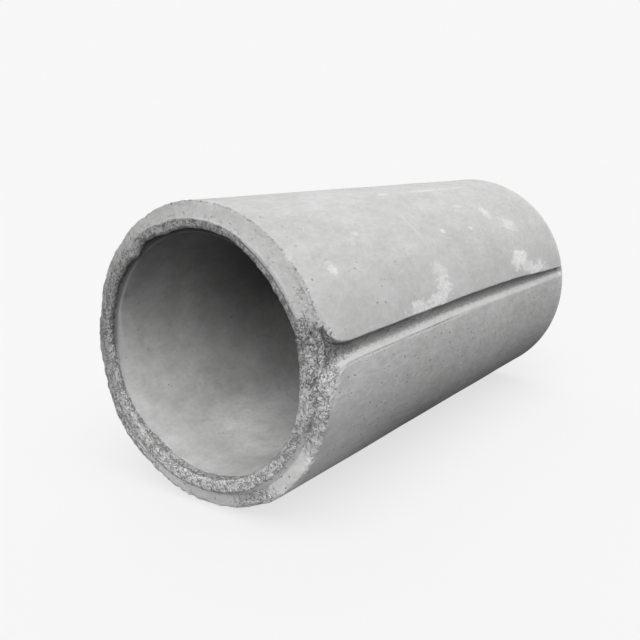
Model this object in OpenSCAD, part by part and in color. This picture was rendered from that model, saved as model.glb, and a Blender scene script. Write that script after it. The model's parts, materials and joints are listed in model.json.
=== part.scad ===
// Concrete sewer pipe with a tongue-and-groove joint, cast in one piece in a two-part mould.
// It lies on its side: the axis runs along X, the tongue end is at -X and the socket end at +X.
// The origin is under the middle of the pipe, on the ground. All sizes are in millimetres.

/* [Pipe] */
// Diameter of the bore
bore_d = 400; // [200:10:1000]
// Thickness of the wall
wall = 50; // [40:1:120]
// Laying length, from the tongue's shoulder to the socket face
laying_length = 1000; // [500:10:2500]

/* [Joint] */
// How far the tongue stands out from its shoulder
tongue_length = 15; // [10:1:40]
// Width of the shoulder round the tongue's root, measured in from the outside
shoulder_width = 28; // [20:0.5:32]
// How much thinner the tongue is at its tip than at its root
tongue_taper = 5; // [2:0.5:10]
// Gap left round the tongue and past its tip in the socket, for mortar or a seal
joint_gap = 3; // [1:0.5:5]

/* [Mould seams] */
// Turn of the seams about the axis, away from level
seam_angle = 9; // [-45:1:45]
// Width of a seam's groove at the surface
seam_width = 30; // [15:1:60]
// Depth of the groove at the foot of its ramp
seam_depth = 13; // [4:0.5:18]
// Share of the groove's width that its flat floor takes
seam_floor_share = 0.42; // [0.2:0.01:0.7]
// Distance from the socket's face at which the grooves end
seam_stop = 12; // [5:1:100]

/* [Edges] */
// Chamfer of the outer edges at both ends
outer_chamfer = 4; // [1:0.5:6]
// Chamfer of the bore's edges and of the tongue's tip
bore_chamfer = 2; // [1:0.5:4]

/* [Hidden] */
$fn = 180;
bore_r = bore_d / 2;
outer_r = bore_r + wall;
tongue_root_r = outer_r - shoulder_width;
tongue_tip_r = tongue_root_r - tongue_taper;
socket_depth = tongue_length + joint_gap;
socket_floor_r = tongue_tip_r + joint_gap;
socket_mouth_r = tongue_root_r + joint_gap;
overall_length = tongue_length + laying_length;
// Distance of the shoulder from the middle of the pipe
shoulder_x = tongue_length - overall_length / 2;
// The cutters of the grooves reach past the surfaces by this much
cut_over = 5;
concrete = [0.74, 0.74, 0.73];

// Half of the lengthwise section: x is the distance from the axis and y the distance
// from the shoulder, towards the socket.
module wall_section() {
    polygon([
        // bore, from the socket back to the tongue's tip
        [bore_r, laying_length - socket_depth - bore_chamfer],
        [bore_r, bore_chamfer - tongue_length],
        [bore_r + bore_chamfer, -tongue_length],
        // tongue: tip, tapered side and shoulder
        [tongue_tip_r - bore_chamfer, -tongue_length],
        [tongue_tip_r, bore_chamfer - tongue_length],
        [tongue_root_r, 0],
        [outer_r - outer_chamfer, 0],
        // barrel
        [outer_r, outer_chamfer],
        [outer_r, laying_length - outer_chamfer],
        [outer_r - outer_chamfer, laying_length],
        // socket: lip, tapered side and floor
        [socket_mouth_r + bore_chamfer, laying_length],
        [socket_mouth_r, laying_length - bore_chamfer],
        [socket_floor_r, laying_length - socket_depth],
        [bore_r + bore_chamfer, laying_length - socket_depth]
    ]);
}

// One seam's cross-section: x is the distance from the axis and y runs up round the surface.
// It has a square upper side, a flat floor, and a ramp that comes back out below it.
module seam_section() {
    upper_y = seam_width / 2;
    foot_y = upper_y - seam_floor_share * seam_width;
    foot_x = outer_r - seam_depth;
    ramp_slope = seam_depth / (foot_y + seam_width / 2);
    polygon([
        [outer_r + cut_over, upper_y],
        [foot_x, upper_y],
        [foot_x, foot_y],
        [outer_r + cut_over, -seam_width / 2 - cut_over / ramp_slope]
    ]);
}

// The grooves where the two halves of the mould met, one on each side of the pipe.
module seam_grooves() {
    rotate([0, 0, 90 - seam_angle])
        for (side = [0, 1])
            mirror([side, 0, 0])
                translate([0, 0, -cut_over])
                    linear_extrude(laying_length - seam_stop + cut_over)
                        seam_section();
}

// The pipe stands on its shoulder here, with its axis along Z; lay_down() puts it on the ground.
module pipe() {
    color(concrete)
        lay_down()
            difference() {
                rotate_extrude()
                    wall_section();
                seam_grooves();
            }
}

module lay_down() {
    translate([shoulder_x, 0, outer_r])
        rotate([0, 90, 0])
            children();
}

pipe();
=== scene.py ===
"""Concrete sewer pipe lying on its side: one mesh with a worn, granular tongue end and two seams.

Everything is in metres, in the CAD model's frame: the axis runs along X, the tongue end is at -X
and Z is up. Angles round the pipe are in degrees from the level line on the -Y side, towards the
top: 90 is the top, 180 the +Y side and -90 the line the pipe lies on. Turns are the same angles
counted from the near mould seam.
"""

import json
import math
from types import SimpleNamespace

import bpy
import numpy as np
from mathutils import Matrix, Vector, noise


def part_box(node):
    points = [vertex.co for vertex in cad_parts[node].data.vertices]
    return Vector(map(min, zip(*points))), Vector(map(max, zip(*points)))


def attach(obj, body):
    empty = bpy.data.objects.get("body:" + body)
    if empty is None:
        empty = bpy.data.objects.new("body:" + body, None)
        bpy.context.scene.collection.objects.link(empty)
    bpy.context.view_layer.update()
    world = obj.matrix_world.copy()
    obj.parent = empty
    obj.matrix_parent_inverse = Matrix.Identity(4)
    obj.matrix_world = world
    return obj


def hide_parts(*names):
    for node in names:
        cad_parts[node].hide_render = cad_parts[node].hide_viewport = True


MM = 0.001

# -------------------------------------------------------------------------------------------------
# The frame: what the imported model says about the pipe
# -------------------------------------------------------------------------------------------------

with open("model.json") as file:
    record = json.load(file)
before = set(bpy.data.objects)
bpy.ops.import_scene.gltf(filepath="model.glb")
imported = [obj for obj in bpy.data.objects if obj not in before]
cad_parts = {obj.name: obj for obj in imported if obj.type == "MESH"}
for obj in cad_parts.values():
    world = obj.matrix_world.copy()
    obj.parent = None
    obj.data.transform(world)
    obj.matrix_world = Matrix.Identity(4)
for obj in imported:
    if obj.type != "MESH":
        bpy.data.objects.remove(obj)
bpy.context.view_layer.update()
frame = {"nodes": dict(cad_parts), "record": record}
low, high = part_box("pipe")
mounts = {mount["name"]: mount for mount in frame["record"]["mounts"]}
cad_points = np.array([vertex.co[:] for vertex in frame["nodes"]["pipe"].data.vertices])

OUTER_R = (high[2] - low[2]) / 2
AXIS_Z = low[2] + OUTER_R
BORE_R = mounts["bore"]["dims"]["r_mm"] * MM
BORE_LENGTH = mounts["bore"]["dims"]["length_mm"] * MM
TIP_X = low[0]
SHOULDER_X = mounts["shoulder_face"]["pos_m"][0]
FAR_X = high[0]
EDGE_BREAK = 2 * MM
SOCKET_FLOOR_X = mounts["bore"]["pos_m"][0] + BORE_LENGTH / 2 + EDGE_BREAK
# Corners of the CAD model this close to a plane count as in it
SAME_PLANE = 0.2 * MM


def radii_at(x):
    """The smallest and largest radius of the CAD model's corners in the plane at x."""
    ring = cad_points[np.abs(cad_points[:, 0] - x) < SAME_PLANE]
    radii = np.hypot(ring[:, 1], ring[:, 2] - AXIS_Z)
    return float(radii.min()), float(radii.max())


SOCKET_MOUTH_R, _ = radii_at(FAR_X)
_, SOCKET_FLOOR_R = radii_at(SOCKET_FLOOR_X)

# The mould seams, as part.scad has them: the angle of the near one, half a groove's width, its
# depth, how far above its middle the flat floor ends, and how far from the far face it stops
SEAM_ANGLE = 9.0
SEAM_HALF = 15 * MM
SEAM_DEPTH = 13 * MM
SEAM_FOOT = 2.4 * MM
SEAM_STOP = 12 * MM

# -------------------------------------------------------------------------------------------------
# Small helpers
# -------------------------------------------------------------------------------------------------


def smooth(low_edge, high_edge, value):
    """0 below low_edge, 1 above high_edge and a smooth step between them."""
    share = np.clip((value - low_edge) / (high_edge - low_edge), 0.0, 1.0)
    return share * share * (3 - 2 * share)


def bump(value, half_width):
    """A smooth hill of height 1 at 0 that reaches 0 at half_width."""
    return 1 - smooth(0.0, 1.0, np.abs(value) / half_width)


def around(turn):
    """The same turn, from -180 to 180."""
    return (turn + 180) % 360 - 180


def by_angle(angle, marks):
    """A value that changes evenly between the marks, (angle, value) pairs round the pipe."""
    angles, values = zip(*marks)
    return np.interp(around(angle), angles, values, period=360)


def place(x, r, turn):
    """Points at the given radius and turn, as rows of (x, y, z)."""
    angle = np.radians(turn + SEAM_ANGLE)
    return np.stack([x, -r * np.cos(angle), AXIS_Z + r * np.sin(angle)], -1)


# -------------------------------------------------------------------------------------------------
# The pipe's grid: rows run along the wall's section and columns run round the pipe
# -------------------------------------------------------------------------------------------------

# Radius of the tongue's tip and of its root round the pipe, as (angle, radius in mm)
TONGUE_TIP_R = [
    (-90, 216), (-50, 218), (-33, 221), (-14, 225), (60, 225), (90, 224), (130, 222), (160, 219),
    (-150, 217),
]
TONGUE_ROOT_R = [(-120, 222), (-90, 224), (-8, 226), (90, 226), (150, 222)]
# How much of the step behind the tongue is filled up to a slope, 0 to 1
STEP_FILL = [(-128, 1), (-104, 0.15), (-92, 0), (-14, 0), (-3, 0.6), (12, 1)]
# Shape of the filled face: 1 is an even slope, more is level with the tip before it falls away to
# the barrel's edge, and less is a fillet that runs out level with the shoulder
FILL_FULLNESS = [
    (-170, 1.8), (-150, 4.5), (-110, 4.5), (-90, 1.0), (-10, 0.5), (30, 0.8), (110, 0.75),
    (150, 0.9),
]
# Radius of the mouth at the tongue's tip in mm: the bore widens to it over its last stretch and a
# crumbled lip
MOUTH_R = [
    (-160, 205), (-90, 204), (-50, 205), (-26, 211.5), (0, 211.5), (21, 217), (33, 213),
    (57, 214.5), (68, 219), (98, 214.5), (107, 211), (114, 214), (121, 216.5), (129, 206),
    (137, 213), (166, 213.5), (-174, 208),
]
# How far in the bore has narrowed to its own radius, in mm, and the number of rows up to there
FLARE_LENGTH = [(-165, 40), (-130, 55), (-40, 55), (0, 30), (60, 16), (165, 16)]
FLARE_ROWS = 12
# Radii of the mouth's lip and of the outer edges, and the angles of their rows in degrees
LIP_ROUND = 6 * MM
EDGE_ROUND = 3.5 * MM
NEAR_STEPS = (0, 22, 45, 68)
FAR_STEPS = (0, 30, 60)
# Spacing of the columns at the seams and between them, and how far each side of a seam the close
# ones reach, in degrees
FINE_COLUMNS = math.degrees(1.2 * MM / OUTER_R)
COARSE_COLUMNS = 0.66
FINE_REACH = math.degrees(22 * MM / OUTER_R)


def column_angles():
    """Turns of the columns: close together at the two seams and even between them."""
    turns = []
    for centre in (0.0, 180.0):
        bands = (
            (centre - FINE_REACH, centre + FINE_REACH, FINE_COLUMNS),
            (centre + FINE_REACH, centre + 180 - FINE_REACH, COARSE_COLUMNS),
        )
        for start, end, step in bands:
            count = round((end - start) / step)
            turns += [start + (end - start) * i / count for i in range(count)]
    return np.array(turns)


def tongue_corners(mouth, tip_out, root):
    """Corners of the lip, the tongue, the shoulder and its outer edge."""
    corners = []
    for degrees in NEAR_STEPS:
        slant = math.radians(degrees)
        x = TIP_X + LIP_ROUND * (1 - math.sin(slant))
        corners.append(("lip", x, mouth - LIP_ROUND * math.cos(slant), None))
    corners += [
        ("tip", TIP_X, mouth, 1.6 * MM),
        ("tip", TIP_X, tip_out - 4 * MM, None),
        ("tip", TIP_X + 1.2 * MM, tip_out - 1.3 * MM, None),
        ("side", TIP_X + 4 * MM, tip_out, 2.0 * MM),
        ("shoulder", SHOULDER_X, root, 1.9 * MM),
    ]
    for degrees in NEAR_STEPS:
        slant = math.radians(degrees)
        x = SHOULDER_X + EDGE_ROUND * (1 - math.cos(slant))
        corners.append(("edge", x, OUTER_R - EDGE_ROUND * (1 - math.sin(slant)), None))
    return corners


def socket_corners():
    """Corners of the barrel, the far face and the socket."""
    corners = [
        ("barrel", SHOULDER_X + EDGE_ROUND, OUTER_R, 3 * MM),
        ("barrel", SHOULDER_X + 64 * MM, OUTER_R, 20 * MM),
        ("barrel", FAR_X - 36 * MM, OUTER_R, 4 * MM),
    ]
    for degrees in FAR_STEPS:
        slant = math.radians(degrees)
        x = FAR_X - EDGE_ROUND * (1 - math.sin(slant))
        corners.append(("far", x, OUTER_R - EDGE_ROUND * (1 - math.cos(slant)), None))
    corners += [
        ("far", FAR_X, OUTER_R - EDGE_ROUND, 4 * MM),
        ("far", FAR_X, SOCKET_MOUTH_R + EDGE_BREAK, None),
        ("socket", FAR_X - EDGE_BREAK, SOCKET_MOUTH_R, 5 * MM),
        ("socket", SOCKET_FLOOR_X, SOCKET_FLOOR_R, 5 * MM),
        ("socket", SOCKET_FLOOR_X, BORE_R + EDGE_BREAK, None),
    ]
    return corners


def bore_corners(mouth, flare_length):
    """Corners of the bore, from the socket to the mouth, which it widens to."""
    corners = [("bore", SOCKET_FLOOR_X - EDGE_BREAK, BORE_R, 32 * MM)]
    for share in np.linspace(1, 0, FLARE_ROWS, endpoint=False):
        widening = np.maximum(mouth - LIP_ROUND - BORE_R, 0) * (1 - smooth(0, 1, share))
        x = TIP_X + LIP_ROUND + flare_length * share
        corners.append(("bore", x, BORE_R + widening, None))
    return corners


def section_corners(turn):
    """The wall's closed section at each turn, as (part, x, radius, row spacing) corners.

    The spacing holds up to the next corner. None stands for no rows between the two.
    """
    angle = turn + SEAM_ANGLE
    mouth = by_angle(angle, MOUTH_R) * MM
    tip_out = by_angle(angle, TONGUE_TIP_R) * MM
    root = by_angle(angle, TONGUE_ROOT_R) * MM
    flare_length = by_angle(angle, FLARE_LENGTH) * MM
    tongue = tongue_corners(mouth, tip_out, root)
    return tongue + socket_corners() + bore_corners(mouth, flare_length)


def build_grid():
    """The grid's x, radius and turn, and the part of the section that each row belongs to."""
    turns = column_angles()
    flat = np.ones_like(turns)
    corners = section_corners(turns)
    x_rows = []
    r_rows = []
    parts = []
    for i, (part, x, r, spacing) in enumerate(corners):
        _, next_x, next_r, _ = corners[(i + 1) % len(corners)]
        length = float(np.mean(np.hypot(next_x - x, next_r - r)))
        count = 1 if spacing is None else max(1, round(length / spacing))
        for share in np.arange(count) / count:
            x_rows.append((x + (next_x - x) * share) * flat)
            r_rows.append((r + (next_r - r) * share) * flat)
            parts.append(part)
    turn_rows = np.repeat(turns[None, :], len(parts), 0)
    return np.array(x_rows), np.array(r_rows), turn_rows, np.array(parts)


X, R, columns, row_part = build_grid()


def is_part(*names):
    """1 in the rows of the named parts and 0 in the others."""
    return np.isin(row_part, names)[:, None] * np.ones_like(X)


def fill_step():
    """Fills the step behind the tongue to a slope where the casting shows none."""
    face = np.flatnonzero(np.isin(row_part, ("side", "shoulder")))
    outer = face[-1] + 1
    share = np.linspace(0, 1, len(face), endpoint=False)[:, None]
    amount = by_angle(columns[face] + SEAM_ANGLE, STEP_FILL)
    fullness = by_angle(columns[face] + SEAM_ANGLE, FILL_FULLNESS)
    late_drop = share ** np.maximum(fullness, 1)
    early_drop = 1 - (1 - share) ** (1 / np.minimum(fullness, 1))
    drop = np.where(fullness > 1, late_drop, early_drop)
    slope_x = X[face[0]] + (X[outer] - X[face[0]]) * drop
    slope_r = R[face[0]] + (R[outer] - R[face[0]]) * share
    X[face] += (slope_x - X[face]) * amount
    R[face] += (slope_r - R[face]) * amount


fill_step()
# How far each point is from the shoulder, towards the far end
from_end = X - SHOULDER_X

# -------------------------------------------------------------------------------------------------
# Seams
# -------------------------------------------------------------------------------------------------

# How far the near groove's path wanders up, and how far round from it the columns follow
WANDER = 4.5 * MM
WANDER_REACH = 140 * MM
# How far the near groove's upper edge comes down at its far end, what share of its depth goes
# there, and between which distances from the shoulder
DROOP = 7 * MM
DROOP_SPAN = (0.70, 0.98)
SHALLOWING = 0.5
SHALLOW_SPAN = (0.80, 0.97)
# How far the grooves' edges flare out at the tongue end, and the length over which that fades
FLARE_UP = 52 * MM
FLARE_UP_MOST = 30 * MM
FLARE_UP_FADE = 13.5 * MM
FLARE_DOWN = 28 * MM
FLARE_DOWN_FADE = 20 * MM
# How far round from a groove's edge the columns are drawn along with it
DRAWN_ALONG = 120 * MM
# How ragged the grooves' upper edges, the feet of their ramps and the crack there are
EDGE_RAGGED = 1.2 * MM
RAMP_RAGGED = 1.0 * MM
CRACK_RAGGED = 1.6 * MM
# Depth of the crack and of the notch, and the distances between which the crack fades out
CRACK_DEPTH = 1.2 * MM
CRACK_SPAN = (0.35, 0.6)
NOTCH_DEPTH = 5 * MM
# Distances from the shoulder between which the granular concrete in a groove thins out
GRIT_SPAN = (0.02, 0.1)
# Distance at which a cell of grid_cells() has faded out, in sizes
CELL_REACH = 0.75


def seam_height(turn):
    """Distance up the surface from the middle of the nearer seam."""
    nearer = np.where(np.abs(around(turn)) < 90, around(turn), around(180 - turn))
    return np.radians(nearer) * OUTER_R


def warp_turns():
    """The columns' turns, drawn to the seams' edges, which wander and flare out at the end."""
    height = seam_height(columns)
    past_shoulder = np.maximum(from_end, 0.0)
    near_side = np.abs(around(columns)) < 90
    wander = WANDER * np.sin(math.pi * past_shoulder / (FAR_X - SHOULDER_X)) ** 2 * near_side
    flare_up = np.minimum(FLARE_UP * np.exp(-past_shoulder / FLARE_UP_FADE), FLARE_UP_MOST)
    flare_up = flare_up * np.where(near_side, 1.0, 0.5)
    flare_down = FLARE_DOWN * np.exp(-past_shoulder / FLARE_DOWN_FADE)
    above = smooth(SEAM_FOOT, SEAM_HALF, height)
    above *= 1 - smooth(SEAM_HALF, SEAM_HALF + DRAWN_ALONG, height)
    below = smooth(-SEAM_HALF - DRAWN_ALONG, -SEAM_HALF, height)
    below *= 1 - smooth(-SEAM_HALF, SEAM_FOOT, height)
    droop = DROOP * smooth(*DROOP_SPAN, past_shoulder) * near_side
    shift = wander * bump(height, WANDER_REACH)
    shift = shift + (flare_up - droop) * above - flare_down * below
    shift *= is_part("barrel", "edge", "shoulder")
    return columns + np.where(near_side, 1.0, -1.0) * np.degrees(shift / OUTER_R)


TURN = warp_turns()
# The grid's points before they are worn, for the noises
UNWORN = place(X, R, TURN).reshape(-1, 3)


def grid_noise(size, octaves, offset):
    """Fractal noise from about -1 to 1 at each point, with features about size metres across.

    The offset keeps one noise apart from another.
    """
    shift = Vector((offset, offset * 0.7, -offset))
    values = [noise.fractal(Vector(point) / size + shift, 1.0, 2.0, octaves) for point in UNWORN]
    return np.array(values).reshape(X.shape)


def grid_cells(size):
    """1 in the middle of a cell and 0 away from it, with cells about size metres apart."""
    nearest = np.array([noise.voronoi(Vector(point) / size)[0][0] for point in UNWORN])
    return 1 - np.clip(nearest / CELL_REACH, 0, 1).reshape(X.shape)


def groove_marks(height, ragged, near_side):
    """Depth of a ragged crack and of a notch, and the painted shade that lies along the crack.

    The crack marks the ramp's lower edge over the first part of its length, and the notch its
    far end. Both are on the near side only.
    """
    first_part = (1 - smooth(*CRACK_SPAN, from_end)) * near_side
    crack = bump(height + SEAM_HALF + CRACK_RAGGED * ragged, 2.4 * MM)
    crack *= smooth(-0.5, 0.3, ragged) * first_part
    notch = bump(X - (FAR_X - SEAM_STOP - 4 * MM), 8 * MM)
    notch *= bump(height + 5 * MM, 9 * MM) * near_side
    # Painted shade along the crack
    painted_shade_share = 0.7 * bump(height + SEAM_HALF, 4.5 * MM) * first_part
    return CRACK_DEPTH * crack + NOTCH_DEPTH * notch, painted_shade_share


def seam_cut():
    """The grooves at each point: how deep they are cut, how much of them it is, and how much
    painted shade they get.
    """
    height = seam_height(columns)
    near_side = np.abs(around(columns)) < 90
    ragged = grid_noise(12 * MM, octaves=3, offset=3.0)
    edge_at = SEAM_HALF + EDGE_RAGGED * ragged
    flank = 1 - smooth(edge_at - 1.4 * MM, edge_at + 0.2 * MM, height)
    ramp = smooth(-SEAM_HALF - 1 * MM + RAMP_RAGGED * ragged, SEAM_FOOT, height)
    open_end = 1 - smooth(FAR_X - SEAM_STOP - 1 * MM, FAR_X - SEAM_STOP + 2 * MM, X)
    outside = is_part("barrel", "edge") * open_end
    shallower = 1 - SHALLOWING * smooth(*SHALLOW_SPAN, from_end) * near_side
    marks, crack_painted_shade = groove_marks(height, ragged, near_side)
    depth = SEAM_DEPTH * shallower * ramp + marks
    # Painted shade lies in the groove and along the crack, thinly above the upper edge, and
    # thickly at the far end
    upper_edge_painted_shade = 0.66 * (1 - smooth(edge_at - 1 * MM, edge_at + 8 * MM, height))
    upper_edge_painted_shade *= smooth(0, SEAM_FOOT, height)
    far_end_painted_shade = 1.2 * smooth(FAR_X - 40 * MM, FAR_X - 24 * MM, X)
    far_end_painted_shade *= 1 - smooth(FAR_X - 8 * MM, FAR_X - 3 * MM, X)
    far_end_painted_shade *= bump(height - 3 * MM, 16 * MM) * near_side
    painted_shade_share = np.maximum.reduce([flank * ramp, upper_edge_painted_shade, crack_painted_shade, far_end_painted_shade])
    return depth * flank * outside, flank * ramp * outside, painted_shade_share * is_part("barrel", "edge")


groove_depth, in_groove, groove_painted_shade = seam_cut()

# -------------------------------------------------------------------------------------------------
# Wear and casting marks
# -------------------------------------------------------------------------------------------------

# Wear of the tongue end's outer edge: (angle, half width, depth in mm)
EDGE_CHIPS = [
    (-84, 20, 2.5),
    (-66, 12, 2.5),
    (-43, 9, 3.0),
    (-28, 3, 2.0),
    (47, 5, 1.5),
    (84, 7, 1.0),
    (118, 4, 1.0),
    (136, 5, 1.5),
    (168, 11, 3.0),
    (-168, 6, 3.0),
    (-122, 4, 2.0),
]
# How deeply small bites are broken out of that edge round the pipe, in mm
EDGE_BITES = [(-178, 0.4), (-166, 2.2), (-110, 2.4), (-92, 1.2), (-78, 0.3), (150, 0.3)]
# How open and granular the shoulder is round the pipe, 0 to 1, and how much it is at its root
SHOULDER_GRIT = [
    (-176, 0.7), (-150, 0.8), (-134, 0.8), (-124, 0.45), (-112, 0.15), (-98, 0.05), (-80, 0.05),
    (-72, 0.5), (-56, 0.45), (-47, 0.1), (-32, 0.1), (-24, 0.5), (2, 0.6), (8, 0.9), (17, 1.0),
    (22, 0.3), (60, 0.15), (100, 0.15), (150, 0.35),
]
ROOT_GRIT = [
    (-40, 0.0), (-24, 0.5), (-10, 1.0), (10, 1.0), (20, 0.5), (60, 0.5), (150, 0.7), (-150, 0.4),
    (-110, 0.1),
]
# The same for the tongue's tapered side
SIDE_GRIT = [(-100, 0.2), (-30, 0.15), (-8, 0.8), (20, 1.0), (27, 0.2), (120, 0.25), (160, 0.8)]
# The same for the tip, for the part of it close to the mouth, and the width of that part in mm
TIP_GRIT = [
    (-170, 0.6), (-120, 0.8), (-22, 0.9), (-15, 0.45), (-4, 0.4), (1, 0.7), (9, 1.0), (20, 1.0),
    (26, 0.25), (60, 0.2), (90, 0.25), (140, 0.35),
]
MOUTH_GRIT = [
    (-22, 0.9), (-15, 0.4), (-3, 0.4), (4, 0.9), (18, 1.0), (30, 0.65), (60, 0.65), (100, 0.6),
    (165, 0.65),
]
MOUTH_GRIT_WIDTH = [(60, 7), (100, 10), (117, 16), (160, 15), (-160, 8)]
# How far granular concrete runs into the bore round the pipe, in mm
SPILL = [
    (-165, 10), (-156, 11), (-140, 15), (-124, 24), (-94, 26), (-80, 32), (-64, 30), (-45, 14),
    (-20, 4), (60, 3), (100, 10), (165, 12),
]
# The corner broken out at the near seam: the middle of its granular patch and half the width of
# the break, in degrees, how far it goes in towards the axis and back along the pipe, and the depth
# of the trough that runs from it
BROKEN_ANGLE = 8
BROKEN_HALF = 22
BREAK_INWARD = 6 * MM
BREAK_BACK = 3 * MM
TROUGH_DEPTH = 5 * MM
# How uneven the barrel and the bore are
WAVE_DEPTH = 0.6 * MM
# How dark the painted shade along the outer edge of the end face is, round the pipe
RIM_PAINTED_SHADE = [(16, 0), (24, 1), (110, 1), (130, 0)]
# Relief of the granular concrete in mm: depth of its cells, and how far the rest is raised
CELL_DEPTH = 3.4
CELL_RAISE = 2.4


def normals(points):
    """Unit normals of the grid of points. They point into the wall."""
    along = np.roll(points, -1, 0) - np.roll(points, 1, 0)
    across = np.roll(points, -1, 1) - np.roll(points, 1, 1)
    normal = np.cross(across, along)
    return normal / np.maximum(np.linalg.norm(normal, axis=2, keepdims=True), 1e-12)


def end_face_grit(angle):
    """How open and granular the lip, the tip, the tongue's side and the shoulder are."""
    from_mouth = R - by_angle(angle, MOUTH_R) * MM
    mouth_width = by_angle(angle, MOUTH_GRIT_WIDTH) * MM
    mouth_grit = by_angle(angle, MOUTH_GRIT) * (1 - smooth(0.3, 1.0, from_mouth / mouth_width))
    tip = is_part("lip", "tip") * np.maximum(by_angle(angle, TIP_GRIT), mouth_grit)
    side = is_part("side") * by_angle(angle, SIDE_GRIT)
    root = by_angle(angle, ROOT_GRIT) * (1 - smooth(220 * MM, 234 * MM, R))
    rim = 0.35 * smooth(OUTER_R - 5 * MM, OUTER_R - 1 * MM, R)
    shoulder = np.maximum.reduce([by_angle(angle, SHOULDER_GRIT), root, rim])
    return np.maximum.reduce([tip, side, shoulder * is_part("shoulder", "edge")])


def grit():
    """How open and granular the concrete is at each point, 0 to 1."""
    angle = TURN + SEAM_ANGLE
    spill = by_angle(angle, SPILL) * MM
    bore = is_part("bore") * (1 - smooth(spill * 0.7, spill + 5 * MM, X - TIP_X))
    near_edge = is_part("barrel") * (1 - smooth(2 * MM, 12 * MM, from_end))
    near_edge = near_edge * 0.3 * by_angle(angle, SHOULDER_GRIT)
    # The broken corner's patch narrows away from the end
    from_middle = np.abs(around(angle - BROKEN_ANGLE))
    corner_reach = from_end + 14 * MM * from_middle / 12
    corner = bump(from_middle, BROKEN_HALF) * (1 - smooth(10 * MM, 44 * MM, corner_reach))
    corner *= is_part("shoulder", "edge", "barrel")
    groove = in_groove * (0.25 + 0.6 * (1 - smooth(*GRIT_SPAN, from_end)))
    rough = np.maximum.reduce([end_face_grit(angle), bore, near_edge, corner, groove])
    return np.clip(rough, 0, 1)


def edge_wear(angle, rough, lumps, chips):
    """How far the tongue end's outer edge is rounded and chipped away at each point."""
    corner = np.hypot(X - SHOULDER_X, OUTER_R - R)
    near_corner = (1 - smooth(1 * MM, 15 * MM, corner)) * is_part("shoulder", "edge", "barrel")
    bites = by_angle(angle, EDGE_BITES) * MM
    depth = 0.3 * MM * (1 + lumps) + bites * np.maximum(chips, -0.4)
    depth = depth + 1.3 * MM * rough * (0.4 + chips)
    for centre, half_width, chip in EDGE_CHIPS:
        hill = bump(around(angle - centre), half_width)
        depth = depth + chip * MM * hill * (0.9 + 0.2 * lumps)
    return depth * near_corner


def wear(rough):
    """The grid's points, moved by wear and by the marks of casting."""
    angle = TURN + SEAM_ANGLE
    lumps = grid_noise(22 * MM, octaves=3, offset=5.0)
    waves = grid_noise(170 * MM, octaves=2, offset=7.0)
    grain = 0.65 * grid_cells(9 * MM) + 0.35 * grid_noise(9 * MM, octaves=1, offset=11.0)
    chips = grid_noise(8 * MM, octaves=1, offset=17.0)

    # The barrel and the bore are a little uneven, the grooves are cut and the outer edge is worn
    r = R - WAVE_DEPTH * (1 + waves) * is_part("barrel", "edge")
    r += WAVE_DEPTH * waves * is_part("bore")
    r -= groove_depth
    worn = edge_wear(angle, rough, lumps, chips)
    x = X + 0.8 * worn
    r -= worn

    # The corner at the near seam is broken out, and a trough runs from it to the mouth
    broken = bump(around(angle - SEAM_ANGLE), BROKEN_HALF)
    broken *= (1 - smooth(4 * MM, 30 * MM, from_end)) * is_part("shoulder", "edge", "barrel")
    r -= BREAK_INWARD * broken * smooth(26 * MM, 0.0, OUTER_R - R)
    x += BREAK_BACK * broken * (1 + 0.5 * lumps)
    trough_angle = 14 + 30 * (R - BORE_R)
    trough = bump(around(angle - trough_angle), 7) * is_part("tip", "side", "shoulder")
    x += TROUGH_DEPTH * trough * smooth(206 * MM, 214 * MM, R)

    # Lumps and granular relief: the surface is pressed in where sunk is above 0
    points = place(x, r, TURN)
    sunk = ((0.6 + 0.9 * rough) * lumps - 0.4) * MM * is_part("tip", "lip", "side", "shoulder")
    sunk += rough * (CELL_DEPTH * grain - CELL_RAISE) * MM
    points += normals(points) * sunk[:, :, None]
    # Nothing stands out past the CAD model's ends
    points[:, :, 0] = np.clip(points[:, :, 0], TIP_X, FAR_X)
    return points


def shade():
    """How dark each point is painted for shade in deep pits and recesses, 0 to 1: the grooves and
    round their ends.
    """
    angle = TURN + SEAM_ANGLE
    ragged = grid_noise(10 * MM, octaves=2, offset=13.0)
    face = is_part("lip", "tip", "side", "shoulder", "edge")
    patchy_face = face * smooth(-0.7, 0.0, ragged)
    corner = bump(around(angle - 16.5 + 3 * ragged), 7) * patchy_face
    rim = 0.58 * bump(R - (OUTER_R - 2 * MM), 5 * MM) * face * by_angle(angle, RIM_PAINTED_SHADE)
    pit = bump(around(angle - 1), 8) * bump(R - 226 * MM, 18 * MM) * patchy_face
    return np.maximum.reduce([groove_painted_shade, rim, corner, pit])


rough = grit()
dark = shade()
points = wear(rough)


def build_pipe():
    """The grid as one closed mesh; how granular each point is and how dark its painted shade is
    are attributes.
    """
    row_count, column_count = X.shape
    index = np.arange(row_count * column_count).reshape(row_count, column_count)
    down = np.roll(index, -1, 0)
    faces = np.stack([index, down, np.roll(down, -1, 1), np.roll(index, -1, 1)], -1)
    mesh = bpy.data.meshes.new("pipe_casting")
    mesh.from_pydata(points.reshape(-1, 3).tolist(), [], faces.reshape(-1, 4).tolist())
    mesh.attributes.new("rough", "FLOAT", "POINT").data.foreach_set("value", rough.ravel())
    mesh.attributes.new("dark", "FLOAT", "POINT").data.foreach_set("value", dark.ravel())
    mesh.shade_smooth()
    mesh.validate()
    casting = bpy.data.objects.new("pipe_casting", mesh)
    bpy.context.scene.collection.objects.link(casting)
    return casting


casting = build_pipe()

# -------------------------------------------------------------------------------------------------
# Shader nodes
# -------------------------------------------------------------------------------------------------


def add(tree, kind, inputs=None, **settings):
    """A node with its settings and inputs; an input is a value or another node's output."""
    node = tree.nodes.new(kind)
    for name, value in settings.items():
        setattr(node, name, value)
    for key, value in (inputs or {}).items():
        if isinstance(value, bpy.types.NodeSocket):
            tree.links.new(value, node.inputs[key])
        else:
            node.inputs[key].default_value = value
    return node


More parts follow.
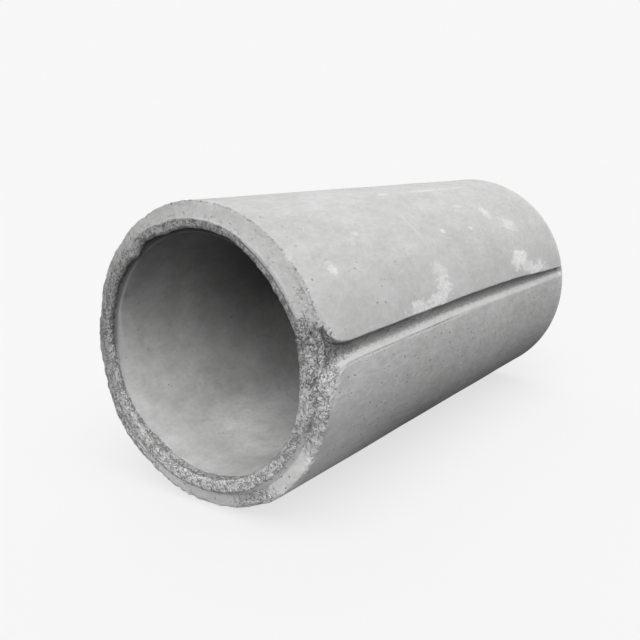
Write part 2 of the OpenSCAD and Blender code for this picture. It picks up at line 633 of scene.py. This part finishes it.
def calc(tree, operation, first, second=0.0, third=0.0):
    """The result of a Math node on up to three values."""
    inputs = {0: first, 1: second, 2: third}
    return add(tree, "ShaderNodeMath", inputs, operation=operation).outputs[0]


def times(tree, first, second):
    """The product of two values."""
    return calc(tree, "MULTIPLY", first, second)


def centred(tree, texture):
    """A texture that goes from 0 to 1, shifted to go from -0.5 to 0.5."""
    return calc(tree, "SUBTRACT", texture, 0.5)


def mix_in(tree, value, texture, amount):
    """The value with amount times the centred texture added."""
    return calc(tree, "MULTIPLY_ADD", centred(tree, texture), amount, value)


def factor_in(tree, factor, mask):
    """The factor where the mask is 1, and 1 where it is 0."""
    return calc(tree, "MULTIPLY_ADD", calc(tree, "SUBTRACT", factor, 1.0), mask, 1.0)


def step_map(tree, value, low_edge, high_edge, start=0.0, end=1.0):
    """A smooth step from start to end as the value goes from low_edge to high_edge."""
    inputs = {
        "Value": value,
        "From Min": low_edge,
        "From Max": high_edge,
        "To Min": start,
        "To Max": end,
    }
    return add(tree, "ShaderNodeMapRange", inputs, interpolation_type="SMOOTHSTEP").outputs[0]


def vector_math(tree, operation, first, second=(0, 0, 0)):
    """A Vector Math node on one or two vectors."""
    return add(tree, "ShaderNodeVectorMath", {0: first, 1: second}, operation=operation)


def fractal(tree, vector, size, detail, stretch):
    """Noise from 0 to 1 with features about size metres across, drawn out by stretch."""
    drawn = vector_math(tree, "DIVIDE", vector, stretch).outputs[0]
    inputs = {"Vector": drawn, "Scale": 1 / size, "Detail": detail, "Roughness": 0.55}
    return add(tree, "ShaderNodeTexNoise", inputs).outputs[0]


def cells(tree, vector, size):
    """Distance to the nearest of points about size metres apart, in sizes."""
    inputs = {"Vector": vector, "Scale": 1 / size}
    return add(tree, "ShaderNodeTexVoronoi", inputs).outputs["Distance"]


# -------------------------------------------------------------------------------------------------
# The concrete
# -------------------------------------------------------------------------------------------------

# The noise textures: (size in mm, detail, how far they are drawn out along X, Y and Z)
ALONG_PIPE = (1.8, 1.0, 1.0)
EVEN = (1.0, 1.0, 1.0)
TEXTURES = {
    "clouds": (160, 4.0, ALONG_PIPE),
    "mottle": (35, 4.0, ALONG_PIPE),
    "fine": (6, 3.0, ALONG_PIPE),
    "speck": (2.2, 2.0, ALONG_PIPE),
    "trails": (13, 4.0, ALONG_PIPE),
    "patchy": (11, 3.0, ALONG_PIPE),
    "flecks": (6, 3.0, EVEN),
    "lumpy": (3.4, 4.0, EVEN),
    "clump": (13, 2.0, EVEN),
    "blotches": (50, 3.0, EVEN),
}
# The concrete's middle tone, and how much each texture changes it
BASE_TONE = 0.575
TONE_CHANGES = {"clouds": 0.14, "mottle": 0.16, "fine": 0.14, "speck": 0.08, "patchy": 0.14}
TRAIL_CHANGE = 0.22
BLOTCH_CHANGE = 0.30
# What the pale patches add to the tone, and what is left of it under the painted shade in pores,
# in gaps and in the grooves and pits
LIME_TONE = 0.34
PORE_SHADE_TONE = 0.55
GAP_SHADE_TONE = 0.55
PAINTED_SHADE_TONE = 0.58
# Distances from the shoulder over which the outside's tone and the painted light on its lower
# shell change, and over which the painted light and shade near its foot change
SHELL_FADE = 0.3
FOOT_FADE = 0.35
# Blue is this much of the other two colours
BLUE_SHARE = 0.995
# Pale lime patches: (distance from the shoulder, angle, half length, half width, strength), with
# sizes in mm
LIME_PATCHES = [
    (82, 37, 13, 10, 0.6),
    (197, 50, 9, 4, 0.4),
    (292, 14.5, 50, 13, 0.85),
    (326, 40, 30, 9, 0.3),
    (345, 16, 38, 14, 0.9),
    (383, 21, 34, 18, 0.8),
    (384, 27, 24, 16, 0.45),
    (381, 47, 4, 58, 0.25),
    (437, 74, 15, 6, 0.8),
    (474, 44, 9, 5, 0.7),
    (595, 43, 11, 5, 0.6),
    (620, 74, 110, 6, 0.35),
    (626, 57, 18, 4, 0.4),
    (718, 50, 15, 17, 0.5),
    (748, 22, 42, 20, 1.0),
    (771, 74, 42, 4, 0.4),
    (778, 41, 42, 18, 0.5),
    (790, 17, 42, 15, 0.8),
    (830, 15, 56, 14, 0.95),
]
# How far in and out from the barrel's surface a patch reaches
LIME_REACH = 60 * MM


def make_textures(tree, position):
    """The noise textures, by name."""
    made = {}
    for name, (size, detail, stretch) in TEXTURES.items():
        made[name] = fractal(tree, position, size * MM, detail, stretch)
    return SimpleNamespace(**made)


def locate(tree, position):
    """Where on the pipe a point is: distances in metres, and masks from 0 to 1.

    The distances are radius, along (X), rise (above the axis) and above (above the seams' plane).
    The masks are in_bore, outside (not in the bore) and lower (outside and below the seams).
    """
    from_axis = vector_math(tree, "SUBTRACT", position, (0, 0, AXIS_Z)).outputs[0]
    across = vector_math(tree, "MULTIPLY", from_axis, (0, 1, 1)).outputs[0]
    radius = vector_math(tree, "LENGTH", across).outputs["Value"]
    tilt = math.radians(SEAM_ANGLE)
    seams_up = (0, math.sin(tilt), math.cos(tilt))
    above = vector_math(tree, "DOT_PRODUCT", from_axis, seams_up).outputs["Value"]
    rise = vector_math(tree, "DOT_PRODUCT", from_axis, (0, 0, 1)).outputs["Value"]
    along = add(tree, "ShaderNodeSeparateXYZ", {0: position}).outputs["X"]
    in_bore = step_map(tree, radius, BORE_R + 12 * MM, BORE_R + 16 * MM, 1.0, 0.0)
    past_lip = step_map(tree, along, TIP_X + 5 * MM, TIP_X + 10 * MM)
    in_bore = times(tree, in_bore, past_lip)
    outside = calc(tree, "SUBTRACT", 1.0, in_bore)
    lower = times(tree, step_map(tree, above, -0.03, 0.0, 1.0, 0.0), outside)
    return SimpleNamespace(
        radius=radius,
        along=along,
        rise=rise,
        above=above,
        in_bore=in_bore,
        outside=outside,
        lower=lower,
    )


def find_pores(tree, position, tex, spot):
    """Pores, thinned out by noise, and small marks on the lower shell: 1 in a hole, 0 outside."""
    large = step_map(tree, cells(tree, position, 20 * MM), 0.05, 0.11, 1.0, 0.0)
    large = times(tree, large, step_map(tree, tex.mottle, 0.5, 0.6))
    small = step_map(tree, cells(tree, position, 9 * MM), 0.07, 0.16, 1.0, 0.0)
    small = times(tree, small, step_map(tree, tex.trails, 0.56, 0.64))
    marks = step_map(tree, cells(tree, position, 13 * MM), 0.09, 0.2, 1.0, 0.0)
    marks = times(tree, times(tree, marks, spot.lower), step_map(tree, tex.fine, 0.42, 0.54))
    return calc(tree, "MAXIMUM", calc(tree, "MAXIMUM", large, small), marks)


def find_gaps(tree, position, tex, rough):
    """Where the concrete is open, and the dark gaps between its grains there, both 0 to 1.

    The gaps are uneven pits of two sizes, and cracks.
    """
    ragged = mix_in(tree, mix_in(tree, rough, tex.fine, 0.7), tex.mottle, 0.5)
    open_mask = step_map(tree, ragged, 0.18, 0.62)
    uneven = mix_in(tree, mix_in(tree, 0.0, tex.lumpy, 1.1), tex.clump, -0.9)
    large = calc(tree, "ADD", cells(tree, position, 6.8 * MM), uneven)
    large = step_map(tree, large, 0.05, 0.32, 1.0, 0.0)
    small = calc(tree, "ADD", cells(tree, position, 3.8 * MM), uneven)
    small = step_map(tree, small, 0.05, 0.34, 0.9, 0.0)
    crack = calc(tree, "MULTIPLY_ADD", tex.clump, 0.5, tex.lumpy)
    crack = step_map(tree, crack, 0.76, 0.90, 0.0, 0.85)
    gap = calc(tree, "MAXIMUM", calc(tree, "MAXIMUM", large, small), crack)
    return open_mask, times(tree, gap, open_mask)


def find_lime(tree, position, tex):
    """Where the pale patches lie, 0 to 1."""
    edge = calc(tree, "MULTIPLY_ADD", tex.patchy, 2.6, -1.3)
    edge = mix_in(tree, mix_in(tree, edge, tex.mottle, 3.0), tex.fine, 2.2)
    total = 0.0
    for from_shoulder, angle, half_length, half_width, strength in LIME_PATCHES:
        tilt = math.radians(angle)
        inputs = {
            "Vector": position,
            "Location": (
                SHOULDER_X + from_shoulder * MM,
                -OUTER_R * math.cos(tilt),
                AXIS_Z + OUTER_R * math.sin(tilt),
            ),
            "Rotation": (math.pi / 2 - tilt, 0, 0),
            "Scale": (half_length * MM, half_width * MM, LIME_REACH),
        }
        local = add(tree, "ShaderNodeMapping", inputs, vector_type="TEXTURE").outputs[0]
        far = calc(tree, "ADD", vector_math(tree, "LENGTH", local).outputs["Value"], edge)
        mask = step_map(tree, far, 0.4, 1.3, strength, 0.0)
        total = calc(tree, "MAXIMUM", total, mask)
    return times(tree, total, step_map(tree, tex.flecks, 0.32, 0.6, 0.5, 1.0))


def textured_tone(tree, tex, spot):
    """The concrete's middle tone, changed by the textures."""
    value = BASE_TONE
    for name, amount in TONE_CHANGES.items():
        value = mix_in(tree, value, getattr(tex, name), amount)
    trails = times(tree, centred(tree, tex.trails), spot.lower)
    value = calc(tree, "MULTIPLY_ADD", trails, TRAIL_CHANGE, value)
    blotches = times(tree, centred(tree, tex.blotches), spot.in_bore)
    return calc(tree, "MULTIPLY_ADD", blotches, BLOTCH_CHANGE, value)


def shell_tone_and_painted_light(tree, spot):
    """What is added to the tone on the outside.

    The lower shell is lighter at the tongue end, and near its foot darker at the far end: painted
    light and shade. The barrel's top is a little darker over its first 300 mm, and the far rim a
    little lighter.
    """
    near = step_map(tree, spot.along, SHOULDER_X, SHOULDER_X + SHELL_FADE, 0.085, 0.015)
    foot = step_map(tree, spot.along, SHOULDER_X, SHOULDER_X + FOOT_FADE, 0.20, -0.18)
    foot = times(tree, foot, step_map(tree, spot.above, -0.2, -0.1, 1.0, 0.0))
    lower = times(tree, spot.lower, calc(tree, "ADD", near, foot))
    top = step_map(tree, spot.along, SHOULDER_X, SHOULDER_X + SHELL_FADE, -0.05, 0.0)
    top = times(tree, top, step_map(tree, spot.above, 0.1, 0.2))
    top = times(tree, top, step_map(tree, spot.along, SHOULDER_X, SHOULDER_X + 4 * MM))
    rim = step_map(tree, spot.along, FAR_X - 22 * MM, FAR_X - 10 * MM, 0.0, 0.05)
    outside = times(tree, calc(tree, "ADD", top, rim), spot.outside)
    return calc(tree, "ADD", lower, outside)


def bore_painted_light_and_shade(tree, spot):
    """Painted light and shade in the bore, as the tone's factor: lighter low down and far darker
    towards the top.

    It gets darker further in, but lighter there at its foot, and is darker where the bore widens
    to the mouth.
    """
    deeper = step_map(tree, spot.along, TIP_X + 0.06, TIP_X + 0.42, -0.085, 0.07)
    height = calc(tree, "ADD", spot.rise, deeper)
    factor = step_map(tree, height, -0.16, 0.16, 1.12, 0.18)
    foot = step_map(tree, spot.rise, -0.19, -0.138, 0.6, 0.0)
    foot = times(tree, foot, step_map(tree, spot.along, TIP_X + 0.1, TIP_X + 0.2))
    factor = factor_in(tree, calc(tree, "ADD", factor, foot), spot.in_bore)
    flare = step_map(tree, spot.radius, BORE_R + 0.8 * MM, BORE_R + 3.5 * MM, 0.0, -0.42)
    return times(tree, factor, calc(tree, "MULTIPLY_ADD", flare, spot.in_bore, 1.0))


def face_painted_shade(tree, spot):
    """Painted shade on the end face, as the tone's factor: darker in its upper half and near its
    foot.
    """
    factor = step_map(tree, spot.above, -0.02, 0.05, 0.98, 0.80)
    factor = times(tree, factor, step_map(tree, spot.above, -0.225, -0.16, 0.90, 1.0))
    on_face = step_map(tree, spot.along, SHOULDER_X, SHOULDER_X + 3 * MM, 1.0, 0.0)
    return factor_in(tree, factor, on_face)


def darken(tree, value, mask, left):
    """The value, with only the given share of it left where the mask is 1."""
    return times(tree, value, step_map(tree, mask, 0.0, 1.0, 1.0, left))


def relief(tree, parts):
    """The normal that the parts' relief gives, each a mask and its height in metres."""
    height = 0.0
    for mask, amount in parts:
        height = calc(tree, "MULTIPLY_ADD", mask, amount, height)
    inputs = {"Height": height, "Distance": 1.0, "Strength": 1.0}
    return add(tree, "ShaderNodeBump", inputs).outputs[0]


def concrete():
    """Grey cast concrete: clouded and pitted, and open and granular where rough is high."""
    material = bpy.data.materials.new("concrete")
    material.use_nodes = True
    tree = material.node_tree
    shader = tree.nodes["Principled BSDF"]
    position = add(tree, "ShaderNodeTexCoord").outputs["Object"]
    rough = add(tree, "ShaderNodeAttribute", attribute_name="rough").outputs["Fac"]
    dark = add(tree, "ShaderNodeAttribute", attribute_name="dark").outputs["Fac"]
    tex = make_textures(tree, position)
    spot = locate(tree, position)
    pores = find_pores(tree, position, tex, spot)
    open_mask, gaps = find_gaps(tree, position, tex, rough)
    white = times(tree, find_lime(tree, position, tex), spot.outside)

    # The textures' tone, with painted light and shade on the lower shell
    value = calc(tree, "ADD", textured_tone(tree, tex, spot), shell_tone_and_painted_light(tree, spot))
    # Painted light and shade in the bore
    value = times(tree, value, bore_painted_light_and_shade(tree, spot))
    value = calc(tree, "MULTIPLY_ADD", white, LIME_TONE, value)
    # Painted shade in the pores and in the gaps between the grains
    value = darken(tree, value, pores, PORE_SHADE_TONE)
    value = darken(tree, value, gaps, GAP_SHADE_TONE)
    # Painted shade on the end face
    value = times(tree, value, face_painted_shade(tree, spot))
    # Painted shade, broken up by noise, in the grooves, round their ends, in pits and along the
    # outer edge
    painted_shade_share = mix_in(tree, dark, tex.lumpy, 1.3)
    value = times(tree, value, step_map(tree, painted_shade_share, 0.5, 0.9, 1.0, PAINTED_SHADE_TONE))
    blue = times(tree, value, BLUE_SHARE)
    colour = add(tree, "ShaderNodeCombineColor", {0: value, 1: value, 2: blue}).outputs[0]
    tree.links.new(colour, shader.inputs["Base Color"])
    roughness = calc(tree, "MULTIPLY_ADD", tex.fine, 0.12, 0.82)
    tree.links.new(roughness, shader.inputs["Roughness"])
    shader.inputs["Specular IOR Level"].default_value = 0.3

    parts = (
        (tex.mottle, 0.8 * MM),
        (tex.fine, 0.5 * MM),
        (tex.speck, 0.15 * MM),
        (pores, -1.2 * MM),
        (times(tree, tex.trails, spot.lower), 1.2 * MM),
        (gaps, -2.2 * MM),
        (times(tree, tex.lumpy, open_mask), -4.0 * MM),
    )
    tree.links.new(relief(tree, parts), shader.inputs["Normal"])
    return material


casting.data.materials.append(concrete())
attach(casting, "root")
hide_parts("pipe")

# -------------------------------------------------------------------------------------------------
# Floor, lights and camera
# -------------------------------------------------------------------------------------------------

# Strength of the backdrop and of the floor's glow as the camera sees them
BACKDROP = 0.934
FLOOR_GLOW = 0.703
FLOOR_ALBEDO = 0.2
FLOOR_SIZE = 80
# Light that the backdrop gives at the horizon and overhead
HORIZON_LIGHT = 0.02
SKY_LIGHT = 0.30
WHITE = (1, 1, 1, 1)
# Suns with soft edges: (name, strength, spread in degrees, direction they shine along)
SUNS = [
    ("soft_key", 2.4, 66, (0.36, 0.38, -1.0)),
    ("back_fill", 0.6, 60, (-0.5, -0.7, -0.7)),
    ("front_fill", 1.15, 44, (1.0, 0.5, -0.3)),
]
# The camera's place, its direction (radians from +X towards +Y, and above level), and its lens
# and sensor in mm
CAMERA_PLACE = (-1.31325, -0.81775, 0.5725)
VIEW_YAW = 0.62
VIEW_PITCH = -0.223
CAMERA_LENS = 42.05
CAMERA_SENSOR = 36


def seen_and_given(tree, seen, given):
    """One value for what the camera sees and another for the light that is passed on."""
    camera_ray = add(tree, "ShaderNodeLightPath").outputs["Is Camera Ray"]
    inputs = {"Value": camera_ray, "To Min": given, "To Max": seen}
    return add(tree, "ShaderNodeMapRange", inputs).outputs[0]


def floor_paint():
    """Matt grey that glows for the camera only, so that it looks as pale as the backdrop."""
    material = bpy.data.materials.new("floor_paint")
    material.use_nodes = True
    tree = material.node_tree
    shader = tree.nodes["Principled BSDF"]
    shader.inputs["Base Color"].default_value = (FLOOR_ALBEDO, FLOOR_ALBEDO, FLOOR_ALBEDO, 1)
    shader.inputs["Emission Color"].default_value = WHITE
    tree.links.new(seen_and_given(tree, FLOOR_GLOW, 0.0), shader.inputs["Emission Strength"])
    shader.inputs["Roughness"].default_value = 1.0
    shader.inputs["Specular IOR Level"].default_value = 0.0
    return material


def light_world():
    """A backdrop as pale as the floor, which gives soft light from overhead."""
    world = bpy.data.worlds.new("studio")
    bpy.context.scene.world = world
    world.use_nodes = True
    sky = world.node_tree
    background = sky.nodes["Background"]
    background.inputs["Color"].default_value = WHITE
    direction = add(sky, "ShaderNodeTexCoord").outputs["Generated"]
    upward = add(sky, "ShaderNodeSeparateXYZ", {0: direction}).outputs["Z"]
    overhead = step_map(sky, upward, 0.0, 0.8, HORIZON_LIGHT, SKY_LIGHT)
    sky.links.new(seen_and_given(sky, BACKDROP, overhead), background.inputs["Strength"])


def point_along(thing, direction):
    """Turns a light or a camera to look along the direction."""
    thing.rotation_euler = Vector(direction).to_track_quat("-Z", "Y").to_euler()


def add_sun(name, energy, spread, direction):
    """A sun that is spread degrees wide and shines along the direction."""
    light = bpy.data.lights.new(name, "SUN")
    light.energy = energy
    light.angle = math.radians(spread)
    sun = bpy.data.objects.new(name, light)
    bpy.context.scene.collection.objects.link(sun)
    point_along(sun, direction)


def add_camera():
    """The camera, at the photograph's viewing angle."""
    data = bpy.data.cameras.new("camera")
    data.sensor_width = CAMERA_SENSOR
    data.lens = CAMERA_LENS
    camera = bpy.data.objects.new("camera", data)
    bpy.context.scene.collection.objects.link(camera)
    camera.location = CAMERA_PLACE
    level = math.cos(VIEW_PITCH)
    point_along(
        camera,
        (level * math.cos(VIEW_YAW), level * math.sin(VIEW_YAW), math.sin(VIEW_PITCH)),
    )
    bpy.context.scene.camera = camera


bpy.ops.mesh.primitive_plane_add(size=FLOOR_SIZE, location=(0, 0, low[2]))
floor = bpy.context.object
floor.name = "floor"
floor.data.materials.append(floor_paint())

light_world()
for sun in SUNS:
    add_sun(*sun)
add_camera()
bpy.context.scene.view_settings.view_transform = "Standard"
